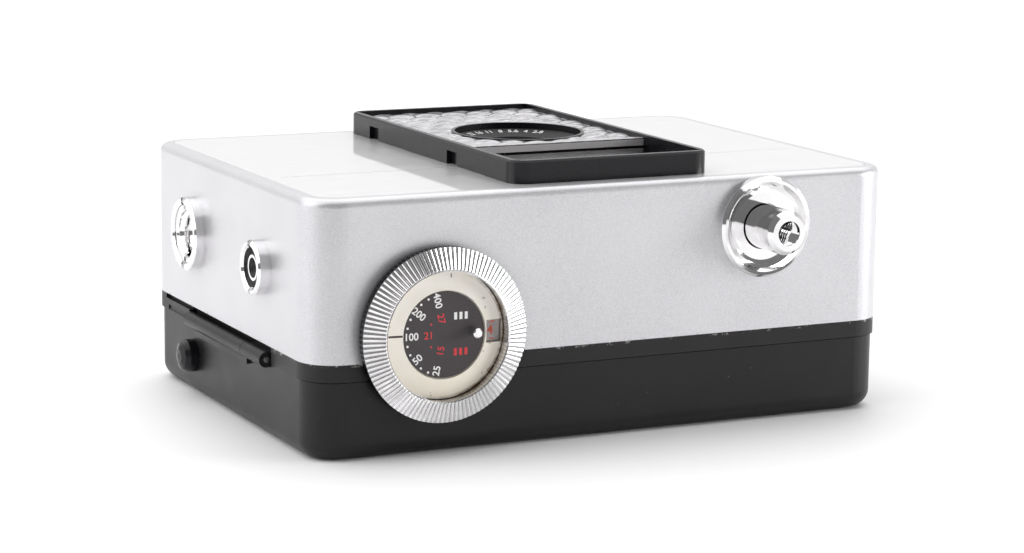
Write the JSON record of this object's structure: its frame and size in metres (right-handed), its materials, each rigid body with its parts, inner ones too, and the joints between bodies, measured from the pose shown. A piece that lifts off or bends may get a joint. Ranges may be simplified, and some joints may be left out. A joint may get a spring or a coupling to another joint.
{
  "type": "half frame camera",
  "caption": "Compact half frame 35 mm camera with clockwork film drive, honeycomb light cell round the lens, nested top dial and hinged back.",
  "frame": {"origin": "centre of the back cover's outer face, on which the camera lies", "axes": "+Z the lens direction, +X from the hinge end to the latch end, -Y the camera's top with release and dial"},
  "size_m": [0.0893, 0.0721, 0.0371],
  "materials": {
    "silver_casing": "satin metallic silver paint",
    "polished_plate": "polished",
    "black_frame": "satin black paint",
    "black_back": "satin black paint",
    "gloss_black": "gloss",
    "matte_black": "matt",
    "honeycomb": "clear moulded",
    "glass": "polished",
    "selenium": "silvery selenium",
    "chrome": "bright plate",
    "steel": "brushed",
    "brass": "turned",
    "ivory": "aged ivory",
    "dial_black": "matt with white and red numbers",
    "number_disc": "satin with orange numbers",
    "felt": "felt",
    "aluminium_can": "spun can"
  },
  "bodies": {
    "camera_body": {"casing_screws": "steel", "cell_frame": "gloss_black", "cell_window": "honeycomb", "chassis": "black_frame", "counter_ring": "ivory", "eyepiece_lens": "glass", "film_gate": "steel", "flash_insulator": "matte_black", "flash_pin_socket": "matte_black", "flash_shell": "chrome", "flash_sleeve": "chrome", "front_casing": "silver_casing", "front_lens": "glass", "front_plate": "polished_plate", "hinge_pin": "steel", "lens_barrel": "matte_black", "lens_bezel": "gloss_black", "meter_movement": "aluminium_can", "middle_lens": "glass", "rear_lens": "glass", "release_collar": "chrome", "selenium_cell": "selenium", "shutter_housing": "black_frame", "shutter_pins": "steel", "spindle": "steel", "tripod_bush": "chrome", "tripod_ring": "chrome", "viewfinder_tube": "matte_black", "viewfinder_window": "glass"},
    "back": {"back_cover": "black_back", "side_stud": "gloss_black", "light_seal": "felt", "pressure_spring": "brass"},
    "pressure": {"pressure_plate": "steel"},
    "latch": {"latch_slide": "chrome"},
    "winding_knob": {"winding_ring": "chrome", "winding_shaft": "steel", "mainspring": "steel"},
    "film_speed": {"film_speed_disc": "dial_black", "speed_stud": "chrome"},
    "counter": {"counter_disc": "number_disc"},
    "release": {"release_plunger": "chrome", "release_spring": "steel"},
    "aperture": {"aperture_ring": "matte_black"},
    "blade_1": {"shutter_blade_1": "steel"},
    "blade_2": {"shutter_blade_2": "steel"},
    "take_up": {"take_up_spool": "matte_black"},
    "film_sprocket": {"sprocket": "steel", "sprocket_gear": "brass"},
    "cocking": {"cocking_gear": "brass"},
    "meter": {"meter_needle": "brass"},
    "rewind": {"rewind_shaft": "steel", "rewind_crank": "chrome"},
    "rewind_handle": {"crank_handle": "chrome"},
    "rewind_release": {"rewind_button": "chrome"}
  },
  "joints": [
    {"name": "back_hinge", "type": "hinge", "parent": "camera_body", "child": "back", "pos_m": [-0.0432, 0, 0.0109], "axis": [0, 1, 0], "range_deg": [0, 110]},
    {"name": "pressure_travel", "type": "slide", "parent": "back", "child": "pressure", "axis": [0, 0, -1], "range_m": [0, 0.0004], "stiffness_N_per_m": 300, "springref_m": -0.002},
    {"name": "latch_travel", "type": "slide", "parent": "back", "child": "latch", "axis": [0, 1, 0], "range_m": [0, 0.003], "stiffness_N_per_m": 120, "springref_m": -0.002},
    {"name": "winding_turn", "type": "hinge", "parent": "camera_body", "child": "winding_knob", "pos_m": [-0.0253, -0.031, 0.016], "axis": [0, -1, 0], "continuous": true},
    {"name": "film_speed_turn", "type": "hinge", "parent": "camera_body", "child": "film_speed", "pos_m": [-0.0253, -0.032, 0.016], "axis": [0, -1, 0], "range_deg": [-78, 78]},
    {"name": "counter_turn", "type": "hinge", "parent": "camera_body", "child": "counter", "pos_m": [-0.0253, -0.0315, 0.016], "axis": [0, -1, 0], "continuous": true},
    {"name": "release_travel", "type": "slide", "parent": "camera_body", "child": "release", "axis": [0, 1, 0], "range_m": [0, 0.0026], "stiffness_N_per_m": 350, "springref_m": -0.002},
    {"name": "aperture_turn", "type": "hinge", "parent": "camera_body", "child": "aperture", "pos_m": [0.0022, 0.0034, 0.034], "axis": [0, 0, 1], "range_deg": [0, 120]},
    {"name": "blade_1_pivot", "type": "hinge", "parent": "camera_body", "child": "blade_1", "pos_m": [0.0092, 0.0086, 0.0247], "axis": [0, 0, 1], "range_deg": [0, 24]},
    {"name": "blade_2_pivot", "type": "hinge", "parent": "camera_body", "child": "blade_2", "pos_m": [-0.0048, 0.0086, 0.0251], "axis": [0, 0, 1], "range_deg": [-24, 0]},
    {"name": "take_up_turn", "type": "hinge", "parent": "camera_body", "child": "take_up", "pos_m": [-0.0253, 0, 0.016], "axis": [0, -1, 0], "continuous": true},
    {"name": "sprocket_turn", "type": "hinge", "parent": "camera_body", "child": "film_sprocket", "pos_m": [-0.0099, 0, 0.01405], "axis": [0, -1, 0], "continuous": true},
    {"name": "cocking_turn", "type": "hinge", "parent": "camera_body", "child": "cocking", "pos_m": [-0.01177, -0.023, 0.02104], "axis": [0, -1, 0], "continuous": true},
    {"name": "meter_swing", "type": "hinge", "parent": "camera_body", "child": "meter", "pos_m": [-0.0196, -0.0248, 0.0283], "axis": [0, 0, 1], "range_deg": [0, 35]},
    {"name": "rewind_turn", "type": "hinge", "parent": "camera_body", "child": "rewind", "pos_m": [0.0278, 0.031, 0.0156], "axis": [0, 1, 0], "continuous": true},
    {"name": "handle_fold", "type": "hinge", "parent": "rewind", "child": "rewind_handle", "pos_m": [0.02225, 0.03252, 0.0156], "axis": [0, 0, 1], "range_deg": [0, 100]},
    {"name": "rewind_release_travel", "type": "slide", "parent": "camera_body", "child": "rewind_release", "axis": [0, -1, 0], "range_m": [0, 0.001], "stiffness_N_per_m": 200, "springref_m": -0.001}
  ],
  "couplings": [
    {"joint": "cocking_turn", "follows": "sprocket_turn", "ratio": -2},
    {"joint": "counter_turn", "follows": "sprocket_turn", "ratio": 0.05},
    {"joint": "blade_2_pivot", "follows": "blade_1_pivot", "ratio": -1}
  ]
}
